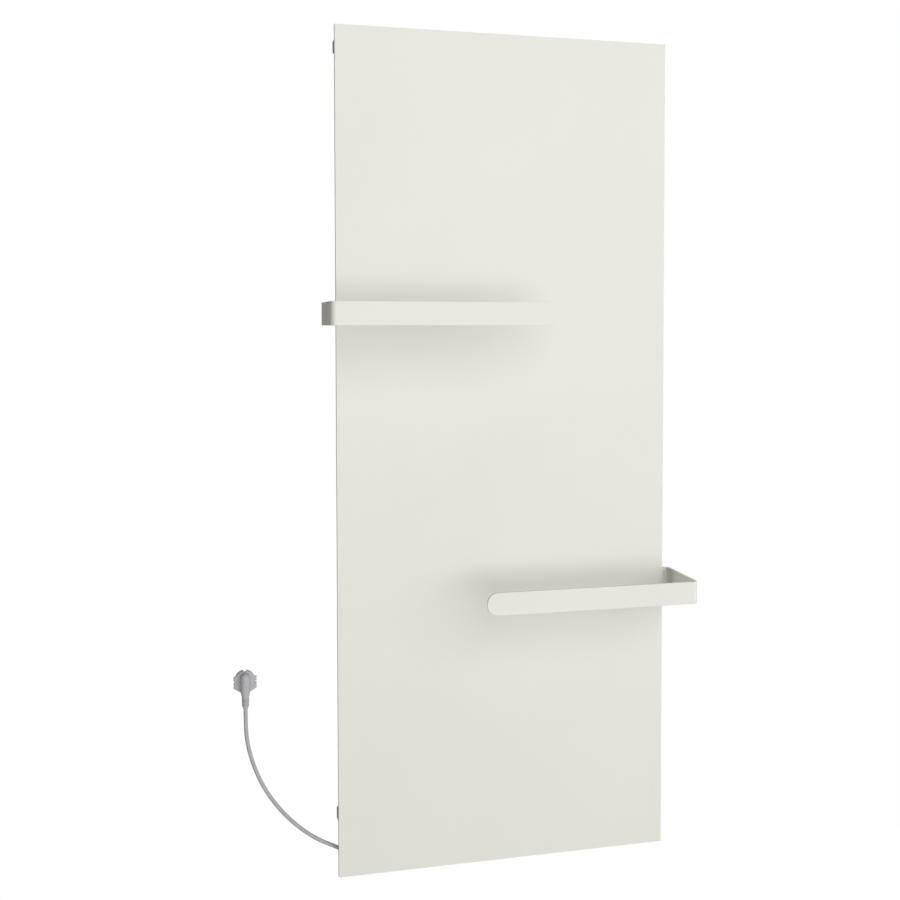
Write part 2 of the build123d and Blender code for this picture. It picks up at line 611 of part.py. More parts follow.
with BuildPart() as terminal_block:
    with BuildSketch(at_distance(BOARD_BACK)):
        with Locations((TERMINAL_LEFT, RECEIVER_Z + 7)):
            Rectangle(12, 30, align=(Align.MIN, Align.CENTER))
    extrude(amount=-11)
    chamfer(terminal_block.faces().sort_by(Axis.Y)[-1].edges().filter_by(Axis.Z), 1.5)
    with BuildSketch(at_distance(BOARD_BACK - 11)):
        with Locations([(TERMINAL_LEFT + 6, z) for z in MAINS_TERMINALS + HEATER_TERMINALS]):
            Circle(1.7)
    extrude(amount=3, mode=Mode.SUBTRACT)
save(terminal_block.part, "terminal_block")
TACT_BOTTOM = RECEIVER_Z - 12.5
with BuildPart() as pairing_switch:
    with BuildSketch(Plane.XY.offset(TACT_BOTTOM)):
        with Locations((BUTTON_X, -(BOARD_BACK - 3))):
            Rectangle(6, 6)
        with Locations((BUTTON_X, -RECEIVER_AXIS_OUT)):
            Circle(1.3, mode=Mode.SUBTRACT)
    extrude(amount=3)
    with BuildSketch(Plane.XY.offset(TACT_BOTTOM + 3)):
        with Locations((BUTTON_X, -(BOARD_BACK - 3))):
            Rectangle(6, 6)
    extrude(amount=3)
save(pairing_switch.part, "pairing_switch")
with BuildPart() as status_led:
    with BuildSketch(Plane.XY.offset(TACT_BOTTOM)):
        with Locations((LENS_X, -(BOARD_BACK - 2))):
            Rectangle(4, 4)
    extrude(amount=4)
save(status_led.part, "status_led")

# Pairing button: it slides in the bottom wall and its nose reaches into the switch
WALL_INSIDE = RECEIVER_BOTTOM + RECEIVER_WALL
with BuildPart() as pairing_button:
    with BuildSketch(Plane.XZ.offset(RECEIVER_AXIS_OUT)):
        with BuildLine():
            Polyline(
                (BUTTON_X, RECEIVER_BOTTOM - 1.3),
                (BUTTON_X + BUTTON_RADIUS - 0.4, RECEIVER_BOTTOM - 1.3),
                (BUTTON_X + BUTTON_RADIUS, RECEIVER_BOTTOM - 0.9),
                (BUTTON_X + BUTTON_RADIUS, WALL_INSIDE + 0.05),
                (BUTTON_X + BUTTON_FLANGE_RADIUS, WALL_INSIDE + 0.05),
                (BUTTON_X + BUTTON_FLANGE_RADIUS, WALL_INSIDE + 1.1),
                (BUTTON_X + BUTTON_NOSE_RADIUS, WALL_INSIDE + 1.1),
                (BUTTON_X + BUTTON_NOSE_RADIUS, TACT_BOTTOM + 1),
                (BUTTON_X, TACT_BOTTOM + 1),
                close=True,
            )
        make_face()
    revolve(axis=Axis((BUTTON_X, -RECEIVER_AXIS_OUT, 0), (0, 0, 1)))
save(pairing_button.part, "pairing_button")

# Status lens: a light pipe from the lamp on the board through the bottom wall
with BuildPart() as status_lens:
    with BuildSketch(Plane.XY.offset(RECEIVER_BOTTOM - 0.6)):
        with Locations((LENS_X, -RECEIVER_AXIS_OUT)):
            Circle(1.5)
    extrude(amount=TACT_BOTTOM - RECEIVER_BOTTOM + 0.6)
    with BuildSketch(Plane.XY.offset(WALL_INSIDE)):
        with Locations((LENS_X, -RECEIVER_AXIS_OUT)):
            Circle(2.6)
    extrude(amount=1)
save(status_lens.part, "status_lens")

# Power switch: a snap-in body with a bezel, and a rocker on two short pins
PIVOT_Z = RECEIVER_BOTTOM - 0.1
ROCKER_AXIS = Axis((SWITCH_X, -RECEIVER_AXIS_OUT, PIVOT_Z), (0, 1, 0))
with BuildPart() as power_switch_body:
    with BuildSketch(Plane.XY.offset(RECEIVER_BOTTOM - BEZEL_DEPTH)):
        with Locations((SWITCH_X, -RECEIVER_AXIS_OUT)):
            RectangleRounded(*BEZEL_SIZE, 1)
    extrude(amount=BEZEL_DEPTH)
    chamfer(power_switch_body.faces().sort_by(Axis.Z)[0].edges(), 0.5)
    with BuildSketch(Plane.XY.offset(RECEIVER_BOTTOM)):
        with Locations((SWITCH_X, -RECEIVER_AXIS_OUT)):
            Rectangle(SWITCH_SIZE[0], SWITCH_SIZE[1])
    extrude(amount=SWITCH_SIZE[2])
    with BuildSketch(Plane.XY.offset(RECEIVER_BOTTOM - BEZEL_DEPTH)):
        with Locations((SWITCH_X, -RECEIVER_AXIS_OUT)):
            Rectangle(2 * (ROCKER_RADIUS + 0.3), ROCKER_WIDTH + 0.6)
    extrude(amount=SWITCH_WELL_DEPTH, mode=Mode.SUBTRACT)
    with BuildSketch(at_distance(RECEIVER_AXIS_OUT)):
        with Locations((SWITCH_X, PIVOT_Z)):
            Circle(ROCKER_PIN_RADIUS + THREAD_CLEARANCE)
    extrude(amount=ROCKER_WIDTH / 2 + 1.3, both=True, mode=Mode.SUBTRACT)
save(power_switch_body.part, "power_switch_body")
with BuildPart() as rocker_level:
    with BuildSketch(at_distance(RECEIVER_AXIS_OUT)):
        with Locations((SWITCH_X, PIVOT_Z)):
            Circle(ROCKER_RADIUS)
            Rectangle(20, 20, align=(Align.CENTER, Align.MIN), mode=Mode.SUBTRACT)
        with Locations((SWITCH_X, PIVOT_Z)):
            Rectangle(2 * ROCKER_RADIUS - 0.8, 2.5, align=(Align.CENTER, Align.MIN))
        rise = 12 * math.tan(math.radians(ROCKER_TILT))
        with BuildLine():
            Polyline(
                (SWITCH_X, PIVOT_Z - 1.4),
                (SWITCH_X + 12, PIVOT_Z - 1.4 - rise),
                (SWITCH_X + 12, PIVOT_Z - 12),
                (SWITCH_X - 12, PIVOT_Z - 12),
                (SWITCH_X - 12, PIVOT_Z - 1.4 - rise),
                close=True,
            )
        make_face(mode=Mode.SUBTRACT)
    extrude(amount=ROCKER_WIDTH / 2, both=True)
    with BuildSketch(at_distance(RECEIVER_AXIS_OUT)):
        with Locations((SWITCH_X, PIVOT_Z)):
            Circle(ROCKER_PIN_RADIUS)
    extrude(amount=ROCKER_WIDTH / 2 + 1.2, both=True)
power_rocker = rocker_level.part.rotate(ROCKER_AXIS, -ROCKER_TILT)
save(power_rocker, "power_rocker")

# Grommet where the heater's leads pass from the panel into the receiver
with BuildPart() as lead_grommet:
    for radius, start, length in ((6.0, SHEET_OUT, -3.0), (6.5, SHEET_OUT, 1.5), (6.5, WALL_GAP - 2, -1.2)):
        with BuildSketch(at_distance(start)):
            with Locations(LEAD_HOLE):
                Circle(radius)
                Circle(5, mode=Mode.SUBTRACT)
        extrude(amount=length)
save(lead_grommet.part, "lead_grommet")


def lead(*points, radius):
    """One insulated wire along straight runs joined by arcs."""
    with BuildPart() as wire:
        with BuildLine():
            path = FilletPolyline(*points, radius=radius)
        with BuildSketch(Plane(origin=path @ 0, z_dir=path % 0)):
            Circle(LEAD_RADIUS)
        sweep()
    return wire.part


LEAD_OUT = FOIL_OUT + HEATER_THICKNESS / 2
HEATER_LEAD_PLACES = ((-2.5, -2.2, -16), (2.5, 2.3, 16))
heater_leads = []
for (dx, dz, start), terminal in zip(HEATER_LEAD_PLACES, HEATER_TERMINALS):
    x = LEAD_HOLE[0] + dx
    heater_leads.append(
        lead(
            (LEAD_HOLE[0] + start, -LEAD_OUT, -HEATER_TAIL_HEIGHT),
            (x, -LEAD_OUT, -HEATER_TAIL_HEIGHT),
            (x, -LEAD_OUT, terminal),
            (x, -RECEIVER_AXIS_OUT + 4, terminal),
            (TERMINAL_LEFT, -RECEIVER_AXIS_OUT + 4, terminal),
            radius=3,
        )
    )
save(Compound(children=heater_leads), "heater_leads")

# Cable gland: body and locknut on the receiver's left wall, seal, and domed nut
GLAND_AXIS = Axis((0, -RECEIVER_AXIS_OUT, CORD_Z), (1, 0, 0))
GLAND_FACE = RECEIVER_LEFT
CORD_BORE = CORD_RADIUS + 0.3


def turned(profile):
    """A turned piece: profile lists (distance left of the receiver's wall, radius) round the cord's axis."""
    with BuildPart() as piece:
        with BuildSketch(at_distance(RECEIVER_AXIS_OUT)):
            with BuildLine():
                Polyline(*[(GLAND_FACE - along, CORD_Z + radius) for along, radius in profile], close=True)
            make_face()
        revolve(axis=GLAND_AXIS)
    return piece.part


def hexagon(start, length, radius, bore):
    with BuildPart() as nut:
        with BuildSketch(Plane.YZ.offset(start)):
            with Locations((-RECEIVER_AXIS_OUT, CORD_Z)):
                RegularPolygon(radius, 6, major_radius=False)
                Circle(bore, mode=Mode.SUBTRACT)
        extrude(amount=length)
    return nut.part


gland_sleeve = turned(
    [
        (-10, CORD_BORE),
        (-10, 8.0),
        (4, 8.0),
        (4, 7.6),
        (13, 7.6),
        (13, 6.0),
        (3, 6.0),
        (3, CORD_BORE),
    ]
)
gland_flats = hexagon(GLAND_FACE - 4, 4, 10, 6.5)
with BuildPart() as gland_body:
    add(gland_sleeve)
    add(gland_flats)
save(gland_body.part, "gland_body")
save(hexagon(GLAND_FACE + RECEIVER_WALL, 4, 9.0, 8.0 + THREAD_CLEARANCE), "gland_locknut")
save(turned([(3.2, CORD_BORE), (3.2, 5.8), (15.5, 5.8), (15.5, CORD_BORE)]), "gland_seal")
save(
    turned(
        [
            (4.3, 7.9),
            (4.3, 9.6),
            (14, 9.6),
            (18.5, 8.2),
            (21, 5.6),
            (21, CORD_BORE),
            (15.8, CORD_BORE + 0.4),
            (15.8, 7.9),
        ]
    ),
    "gland_nut",
)

# The cord's sheath inside the gland, and its three cores up to the terminals
SHEATH_END = GLAND_FACE + 14
with BuildPart() as cord_sheath_end:
    with BuildSketch(Plane.YZ.offset(CORD_ROUTE[-1][0])):
        with Locations((-RECEIVER_AXIS_OUT, CORD_Z)):
            Circle(CORD_RADIUS)
    extrude(amount=SHEATH_END - CORD_ROUTE[-1][0])
save(cord_sheath_end.part, "cord_sheath_end")
CORES = ((0.0, 1.4, 3.5), (-1.2, -0.8, 6.5), (1.2, -0.8, 9.5))
mains_leads = [
    lead(
        (SHEATH_END, -RECEIVER_AXIS_OUT + dy, CORD_Z + dz),
        (SHEATH_END + along, -RECEIVER_AXIS_OUT + dy, CORD_Z + dz),
        (SHEATH_END + along, -RECEIVER_AXIS_OUT + dy, terminal),
        (TERMINAL_LEFT, -RECEIVER_AXIS_OUT + dy, terminal),
        radius=1.8,
    )
    for (dy, dz, along), terminal in zip(CORES, MAINS_TERMINALS)
]
save(Compound(children=mains_leads), "mains_leads")

# Mains cord: straight runs joined by arcs as large as the runs allow
runs = [Vector(*b) - Vector(*a) for a, b in zip(CORD_ROUTE, CORD_ROUTE[1:])]
cord_radii = []
for before, after in zip(runs, runs[1:]):
    half_turn = math.radians(before.get_angle(after)) / 2
    cord_radii.append(0.45 * min(before.length, after.length) / math.tan(half_turn))
with BuildPart() as mains_cord:
    with BuildLine():
        cord_path = FilletPolyline(*CORD_ROUTE, radius=cord_radii)
    with BuildSketch(Plane(origin=cord_path @ 0, z_dir=cord_path % 0)):
        Circle(CORD_RADIUS)
    sweep()
save(mains_cord.part, "mains_cord")
cord_length = cord_path.length
print("cord radii", [round(radius) for radius in cord_radii])
cord_section = math.pi * CORD_RADIUS**2
print("cord length", round(cord_length, 1))
print("volume over section times length", round(mains_cord.part.volume / (cord_section * cord_length), 4))

# Plug: a round base, a flange with shoulders, an upright barrel, pins and earth contacts
FLANGE_OUT = PLUG_BASE_OUT + PLUG_FLANGE_DEPTH
BARREL_BOTTOM = PLUG_CENTRE_HEIGHT - PLUG_RADIUS
DOME_Z = PLUG_CENTRE_HEIGHT + BARREL_DOME_ABOVE_CENTRE
RELIEF_TOP = PLUG_CENTRE_HEIGHT - RELIEF_TOP_BELOW_CENTRE
BARREL_LEFT = PLUG_X - BARREL_RADIUS
BARREL_RIGHT = PLUG_X + BARREL_RADIUS
BARREL_AXIS = Axis((PLUG_X, -BARREL_OUT, 0), (0, 0, 1))
with BuildPart() as plug_body:
    with BuildSketch(at_distance(PLUG_BASE_OUT)):
        with Locations((PLUG_X, PLUG_CENTRE_HEIGHT)):
            Circle(PLUG_BASE_RADIUS)
            with GridLocations(2 * PLUG_BASE_RADIUS, 0, 2, 1):
                Rectangle(*GUIDE_NOTCH, mode=Mode.SUBTRACT)
    extrude(amount=PLUG_FLANGE_DEPTH - PLUG_RIM_DEPTH)
    with BuildSketch(at_distance(FLANGE_OUT - PLUG_RIM_DEPTH)):
        with Locations((PLUG_X, PLUG_CENTRE_HEIGHT)):
            Circle(PLUG_RADIUS)
            Polygon(
                (-PLUG_SHOULDER, PLUG_SHOULDER_HEIGHTS[0]),
                (-PLUG_SHOULDER, PLUG_SHOULDER_HEIGHTS[1]),
                (-PLUG_CHIN[0], PLUG_CHIN[1]),
                (PLUG_CHIN[0], PLUG_CHIN[1]),
                (PLUG_SHOULDER, PLUG_SHOULDER_HEIGHTS[1]),
                (PLUG_SHOULDER, PLUG_SHOULDER_HEIGHTS[0]),
            )
            with GridLocations(2 * PLUG_SHOULDER, 0, 2, 1):
                Rectangle(*GUIDE_NOTCH, mode=Mode.SUBTRACT)
    extrude(amount=PLUG_RIM_DEPTH)
    fillet(plug_body.faces().sort_by(Axis.Y)[0].edges(), PLUG_EDGE)
    # Raised rib from the base to the barrel's axis
    with BuildSketch(at_distance(FLANGE_OUT - PLUG_EDGE)):
        with BuildLine():
            Polyline((BARREL_LEFT, DOME_Z), (BARREL_LEFT, BARREL_BOTTOM), (BARREL_RIGHT, BARREL_BOTTOM))
            Line((BARREL_RIGHT, BARREL_BOTTOM), (BARREL_RIGHT, DOME_Z))
            RadiusArc((BARREL_RIGHT, DOME_Z), (BARREL_LEFT, DOME_Z), -BARREL_RADIUS)
        make_face()
    extrude(amount=BARREL_OUT - FLANGE_OUT + PLUG_EDGE)
    # Earth slots above and below, open at the rim
    with BuildSketch(at_distance(PLUG_BASE_OUT)):
        with Locations((PLUG_X, PLUG_CENTRE_HEIGHT)):
            with GridLocations(0, 2 * PLUG_RADIUS, 1, 2):
                Rectangle(EARTH_SLOT[0], 2 * EARTH_SLOT[1])
    extrude(amount=PLUG_FLANGE_DEPTH - PLUG_EDGE, mode=Mode.SUBTRACT)
    # Barrel: domed at the top, narrowing to the strain relief
    with BuildSketch(at_distance(BARREL_OUT)):
        with BuildLine():
            Polyline(
                (PLUG_X, DOME_Z + BARREL_RADIUS),
                (PLUG_X, RELIEF_TOP),
                (PLUG_X + RELIEF_TOP_RADIUS, RELIEF_TOP),
                (BARREL_RIGHT, BARREL_BOTTOM),
                (BARREL_RIGHT, DOME_Z),
            )
            RadiusArc((BARREL_RIGHT, DOME_Z), (PLUG_X, DOME_Z + BARREL_RADIUS), -BARREL_RADIUS)
        make_face()
    revolve(axis=BARREL_AXIS)
save(plug_body.part, "plug_body")
with BuildPart() as plug_earth_contacts:
    with BuildSketch(at_distance(PLUG_BASE_OUT)):
        with Locations((PLUG_X, PLUG_CENTRE_HEIGHT)):
            with GridLocations(0, 2 * (PLUG_RADIUS - EARTH_SLOT[1]) + EARTH_CONTACT[1], 1, 2):
                Rectangle(EARTH_CONTACT[0], EARTH_CONTACT[1])
    extrude(amount=EARTH_CONTACT[2])
save(plug_earth_contacts.part, "plug_earth_contacts")
with BuildPart() as plug_pins:
    with BuildSketch(at_distance(PLUG_BASE_OUT)):
        with Locations((PLUG_X, PLUG_CENTRE_HEIGHT)):
            with GridLocations(PIN_SPACING, 0, 2, 1):
                Circle(PIN_RADIUS)
    extrude(amount=-PIN_LENGTH)
    chamfer(plug_pins.edges().filter_by(GeomType.CIRCLE).group_by(Axis.Y)[-1], 0.9)
save(plug_pins.part, "plug_pins")

# Strain relief: a tapering sleeve with three grooves, ending where the cord leaves it
RELIEF_BOTTOM = CORD_ROUTE[0][2]
RELIEF_TAPER_Z = PLUG_CENTRE_HEIGHT - RELIEF_TAPER_START
GROOVE_FIRST_Z = PLUG_CENTRE_HEIGHT - GROOVE_FIRST_BELOW_CENTRE
RELIEF_GROOVES = [GROOVE_FIRST_Z - GROOVE_PITCH * i for i in range(3)]
with BuildPart() as plug_strain_relief:
    with BuildSketch(at_distance(BARREL_OUT)):
        with BuildLine():
            Polyline(
                (PLUG_X, RELIEF_TOP),
                (PLUG_X + RELIEF_TOP_RADIUS, RELIEF_TOP),
                (PLUG_X + RELIEF_MIDDLE_RADIUS, RELIEF_TAPER_Z),
                (PLUG_X + CORD_RADIUS + 0.4, RELIEF_BOTTOM),
                (PLUG_X, RELIEF_BOTTOM),
                close=True,
            )
        make_face()
        with Locations([(PLUG_X + RELIEF_TOP_RADIUS, z) for z in RELIEF_GROOVES]):
            Rectangle(*GROOVE_SIZE, mode=Mode.SUBTRACT)
    revolve(axis=BARREL_AXIS)
save(plug_strain_relief.part, "plug_strain_relief")
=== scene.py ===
import json
import math

import bmesh
import bpy
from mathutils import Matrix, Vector


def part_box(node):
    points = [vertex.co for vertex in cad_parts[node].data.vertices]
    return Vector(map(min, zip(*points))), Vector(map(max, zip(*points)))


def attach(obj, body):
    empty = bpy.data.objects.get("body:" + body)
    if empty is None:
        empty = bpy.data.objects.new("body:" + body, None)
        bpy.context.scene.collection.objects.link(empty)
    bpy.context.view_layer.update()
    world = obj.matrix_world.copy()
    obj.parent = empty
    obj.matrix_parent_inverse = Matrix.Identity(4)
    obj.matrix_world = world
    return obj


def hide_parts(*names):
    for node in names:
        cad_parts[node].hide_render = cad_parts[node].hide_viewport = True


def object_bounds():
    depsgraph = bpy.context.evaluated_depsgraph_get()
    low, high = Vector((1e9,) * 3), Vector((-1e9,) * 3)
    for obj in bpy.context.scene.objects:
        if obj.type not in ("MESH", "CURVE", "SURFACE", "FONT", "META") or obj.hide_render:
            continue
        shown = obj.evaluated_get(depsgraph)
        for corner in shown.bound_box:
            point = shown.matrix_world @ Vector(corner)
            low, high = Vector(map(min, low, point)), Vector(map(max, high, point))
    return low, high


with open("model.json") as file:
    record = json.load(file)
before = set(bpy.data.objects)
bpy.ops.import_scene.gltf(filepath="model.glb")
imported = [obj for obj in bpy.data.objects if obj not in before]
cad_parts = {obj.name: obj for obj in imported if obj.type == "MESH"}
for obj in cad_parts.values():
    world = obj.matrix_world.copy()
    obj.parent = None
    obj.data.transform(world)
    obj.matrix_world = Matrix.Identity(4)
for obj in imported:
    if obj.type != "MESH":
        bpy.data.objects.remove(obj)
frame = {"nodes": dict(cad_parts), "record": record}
cad_low, cad_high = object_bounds()
nodes = frame["nodes"]

# Camera, solved from the panel's edges and both towel bars. Pixels are in a 900 x 900 frame.
IMAGE_SIZE = 900
FOCAL_PIXELS = 1199.0
AXIS_PIXEL = (495.1, 379.1)
SENSOR_WIDTH = 36.0
CAMERA_PLACE = Vector((-0.5619, -2.1386, 0.1891))
CAMERA_YAW = math.radians(14.52)
CAMERA_DOWN = math.radians(2.40)

# Mains cord, from the plug's strain relief to the gland nut, in metres
CORD_DIAMETER = 0.007
CORD_ROUTE = [
    (-0.466, -0.043, -0.4685),
    (-0.466, -0.043, -0.490),
    (-0.465, -0.042, -0.519),
    (-0.4585, -0.040, -0.553),
    (-0.447, -0.0375, -0.588),
    (-0.431, -0.035, -0.622),
    (-0.406, -0.0325, -0.659),
    (-0.376, -0.0295, -0.692),
    (-0.341, -0.027, -0.720),
    (-0.306, -0.025, -0.738),
    (-0.280, -0.023, -0.755),
    (-0.252, -0.023, -0.755),
]
CORD_CURVE_ORDER = 3
CORD_STEPS_PER_POINT = 16
CORD_ROUNDNESS = 7

# Walls inside the plug's earth slots, set back from the flange's face, in metres. They are dark as painted
# shade deep in the slots
PLUG_RIM_RADIUS = 0.0185
PLUG_FACE_Y = -0.036
SLOT_WALL_RADII = (0.0134, 0.0181)
SLOT_WALL_HALF_WIDTH = 0.00245
SLOT_WALL_BEHIND_FACE = (0.0019, 0.0039)
SLOT_WALL_STEPS = 8
SLOT_WALL_SHARP = math.radians(30)
SLOT_WALL_EDGE = 0.0002
SLOT_WALL_EDGE_STEPS = 2

# Studio, in metres
FLOOR_BELOW_PART = 0.42
FLOOR_HALF_SIZE = 3.5
FLOOR_BEHIND_PART = 0.75
FLOOR_ROUGHNESS = 0.9
BACKGROUND_STRENGTH = 1.0
AMBIENT_STRENGTH = 0.12
WHITE = (1, 1, 1, 1)
KEY_OFFSET = Vector((1.0, -3.0, 0.4))

# Colour sockets of the mix node, which has one set for each data type under the same names
MIX_UNDER = 6
MIX_OVER = 7
MIX_RESULT = 2


def make_camera():
    data = bpy.data.cameras.new("photo_camera")
    data.sensor_width = SENSOR_WIDTH
    data.lens = FOCAL_PIXELS / IMAGE_SIZE * SENSOR_WIDTH
    data.shift_x = 0.5 - AXIS_PIXEL[0] / IMAGE_SIZE
    data.shift_y = AXIS_PIXEL[1] / IMAGE_SIZE - 0.5
    camera = bpy.data.objects.new("photo_camera", data)
    bpy.context.scene.collection.objects.link(camera)
    forward = Vector(
        (
            math.sin(CAMERA_YAW) * math.cos(CAMERA_DOWN),
            math.cos(CAMERA_YAW) * math.cos(CAMERA_DOWN),
            -math.sin(CAMERA_DOWN),
        )
    )
    camera.location = CAMERA_PLACE
    camera.rotation_mode = "QUATERNION"
    camera.rotation_quaternion = forward.to_track_quat("-Z", "Y")
    bpy.context.scene.camera = camera


def as_mesh(thing):
    bpy.context.view_layer.update()
    return bpy.data.meshes.new_from_object(thing.evaluated_get(bpy.context.evaluated_depsgraph_get()))


def make_slot_shade():
    """The recessed wall in each earth slot, above and below the plug's centre, with an arched top. It is
    dark as painted shade in the slot.
    """
    low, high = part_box("plug_body")
    centre_x = (low.x + high.x) / 2
    centre_z = high.z - PLUG_RIM_RADIUS
    inner, outer = SLOT_WALL_RADII
    width = SLOT_WALL_HALF_WIDTH
    arch = [width * (1 - 2 * step / SLOT_WALL_STEPS) for step in range(SLOT_WALL_STEPS + 1)]
    outline = [(-width, inner), (width, inner)] + [(x, math.sqrt(outer**2 - x**2)) for x in arch]
    build = bmesh.new()
    for side in (1, -1):
        front, back = (
            [
                build.verts.new((centre_x + side * x, PLUG_FACE_Y + behind, centre_z + side * rise))
                for x, rise in outline
            ]
            for behind in SLOT_WALL_BEHIND_FACE
        )
        build.faces.new(front)
        build.faces.new(reversed(back))
        for i in range(len(outline)):
            build.faces.new((front[i - 1], back[i - 1], back[i], front[i]))
    bmesh.ops.recalc_face_normals(build, faces=build.faces)
    bmesh.ops.bevel(
        build,
        geom=[edge for edge in build.edges if edge.calc_face_angle() > SLOT_WALL_SHARP],
        offset=SLOT_WALL_EDGE,
        segments=SLOT_WALL_EDGE_STEPS,
        affect="EDGES",
    )
    mesh = bpy.data.meshes.new("plug_slot_shade")
    build.to_mesh(mesh)
    build.free()
    shade_sheets = bpy.data.objects.new("plug_slot_shade", mesh)
    bpy.context.scene.collection.objects.link(shade_sheets)
    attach(shade_sheets, "radiator")
    return shade_sheets


def make_cord():
    """The route's smooth line, made into a tube. The bare line gives the points that the tube follows."""
    curve = bpy.data.curves.new("mains_cord_route", "CURVE")
    curve.dimensions = "3D"
    curve.resolution_u = CORD_STEPS_PER_POINT
    line = curve.splines.new("NURBS")
    line.points.add(len(CORD_ROUTE) - 1)
    for point, place in zip(line.points, reversed(CORD_ROUTE)):
        point.co = (*place, 1.0)
    line.order_u = CORD_CURVE_ORDER
    line.use_endpoint_u = True
    route = bpy.data.objects.new("mains_cord_route", curve)
    bpy.context.scene.collection.objects.link(route)
    centreline = [tuple(vertex.co) for vertex in as_mesh(route).vertices]
    curve.bevel_depth = CORD_DIAMETER / 2
    curve.bevel_resolution = CORD_ROUNDNESS
    curve.use_fill_caps = True
    flex = bpy.data.objects.new("mains_cord_flex", as_mesh(route))
    bpy.context.scene.collection.objects.link(flex)
    bpy.data.objects.remove(route)
    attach(flex, "radiator")
    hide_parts("mains_cord")
    return flex


make_camera()
plug_slot_shade = make_slot_shade()
cord_flex = make_cord()


def srgb(red, green, blue):
    """A colour given as 0 to 255 display values, as the linear one that shaders take."""
    linear = [
        value / 255 / 12.92 if value <= 10 else ((value / 255 + 0.055) / 1.055) ** 2.4
        for value in (red, green, blue)
    ]
    return (*linear, 1.0)


def toned(colour, factor):
    """The colour, lighter or darker by the factor."""
    return (*(min(1, factor * value) for value in colour[:3]), 1)


class Finish:
    """A node material round one surface shader. Patterns are in the part's own space, in metres."""

    def __init__(self, name, **constants):
        self.material = bpy.data.materials.new(name)
        self.material.use_nodes = True
        self.tree = self.material.node_tree
        self.shader = self.tree.nodes["Principled BSDF"]
        self.place = self.tree.nodes.new("ShaderNodeTexCoord").outputs["Object"]
        self.normal = None
        for socket, value in constants.items():
            self.shader.inputs[socket.replace("_", " ")].default_value = value

    def link(self, output, socket):
        self.tree.links.new(output, socket)

    def stretched(self, stretch):
        node = self.tree.nodes.new("ShaderNodeMapping")
        node.inputs["Scale"].default_value = stretch
        self.link(self.place, node.inputs["Vector"])
        return node.outputs["Vector"]

    def noise(self, size, detail=3, stretch=(1, 1, 1)):
        """A cloudy pattern whose blotches are about size metres across."""
        node = self.tree.nodes.new("ShaderNodeTexNoise")
        node.inputs["Scale"].default_value = 1 / size
        node.inputs["Detail"].default_value = detail
        self.link(self.stretched(stretch), node.inputs["Vector"])
        return node.outputs["Fac"]

    def cells(self, size, feature="F1", output="Distance"):
        """A pattern of cells that are about size metres across."""
        node = self.tree.nodes.new("ShaderNodeTexVoronoi")
        node.feature = feature
        node.inputs["Scale"].default_value = 1 / size
        self.link(self.place, node.inputs["Vector"])
        return node.outputs[output]

    def ranged(self, pattern, low, high, start=0.3, stop=0.7):
        """The pattern's values from start to stop, spread from low to high and held there beyond them."""
        node = self.tree.nodes.new("ShaderNodeMapRange")
        for socket, value in zip(("From Min", "From Max", "To Min", "To Max"), (start, stop, low, high)):
            node.inputs[socket].default_value = value
        self.link(pattern, node.inputs["Value"])
        return node.outputs["Result"]

    def colour(self, pattern, under, over):
        """Base colour that goes from under to over with the pattern. Under may be an earlier result."""
        node = self.tree.nodes.new("ShaderNodeMix")
        node.data_type = "RGBA"
        if isinstance(under, bpy.types.NodeSocket):
            self.link(under, node.inputs[MIX_UNDER])
        else:
            node.inputs[MIX_UNDER].default_value = under
        node.inputs[MIX_OVER].default_value = over
        self.link(pattern, node.inputs["Factor"])
        self.link(node.outputs[MIX_RESULT], self.shader.inputs["Base Color"])
        return node.outputs[MIX_RESULT]

    def roughness(self, pattern, low, high):
        self.link(self.ranged(pattern, low, high), self.shader.inputs["Roughness"])

    def bump(self, pattern, depth, strength):
        """Adds relief of about depth metres on top of the relief so far."""
        node = self.tree.nodes.new("ShaderNodeBump")
        node.inputs["Distance"].default_value = depth
        node.inputs["Strength"].default_value = strength
        self.link(pattern, node.inputs["Height"])
        if self.normal is not None:
            self.link(self.normal, node.inputs["Normal"])
        self.normal = node.outputs["Normal"]
        self.link(self.normal, self.shader.inputs["Normal"])


def enamel(name, light, dark, roughness):
    """Powder coat: a fine orange peel, faint pigment specks and a slow drift in tone."""
    finish = Finish(name, IOR=1.45, Specular_IOR_Level=0.3)
    drift = finish.ranged(finish.noise(size=0.35, detail=2), 0, 1)
    specks = finish.ranged(finish.noise(size=0.0009, detail=1), 0, 0.22, start=0.62, stop=0.8)
    finish.colour(specks, finish.colour(drift, light, dark), toned(dark, 0.9))
    finish.roughness(finish.noise(size=0.02, detail=4), *roughness)
    finish.bump(finish.noise(size=0.0016, detail=2), depth=0.00003, strength=0.35)
    finish.bump(finish.noise(size=0.0004, detail=1), depth=0.000008, strength=0.3)
    return finish.material


def moulded(name, light, dark, roughness, grain=0.0003, depth=0.00002):
    """Injection moulded plastic: spark-eroded grain, flow marks, and lighter blotches as a painted sheen
    from handling.
    """
    finish = Finish(name, IOR=1.5)
    flow = finish.ranged(finish.noise(size=0.012, stretch=(1, 1, 0.35)), 0, 1)
    # Lighter blotches in the base colour are a painted sheen, as from handling
    painted_sheen = finish.ranged(finish.noise(size=0.004, detail=4), 0, 0.1, start=0.55, stop=0.8)
    finish.colour(painted_sheen, finish.colour(flow, light, dark), toned(light, 1.25))
    finish.roughness(finish.noise(size=0.006, detail=4), *roughness)
    finish.bump(finish.noise(size=grain, detail=2), depth, strength=0.4)
    return finish.material


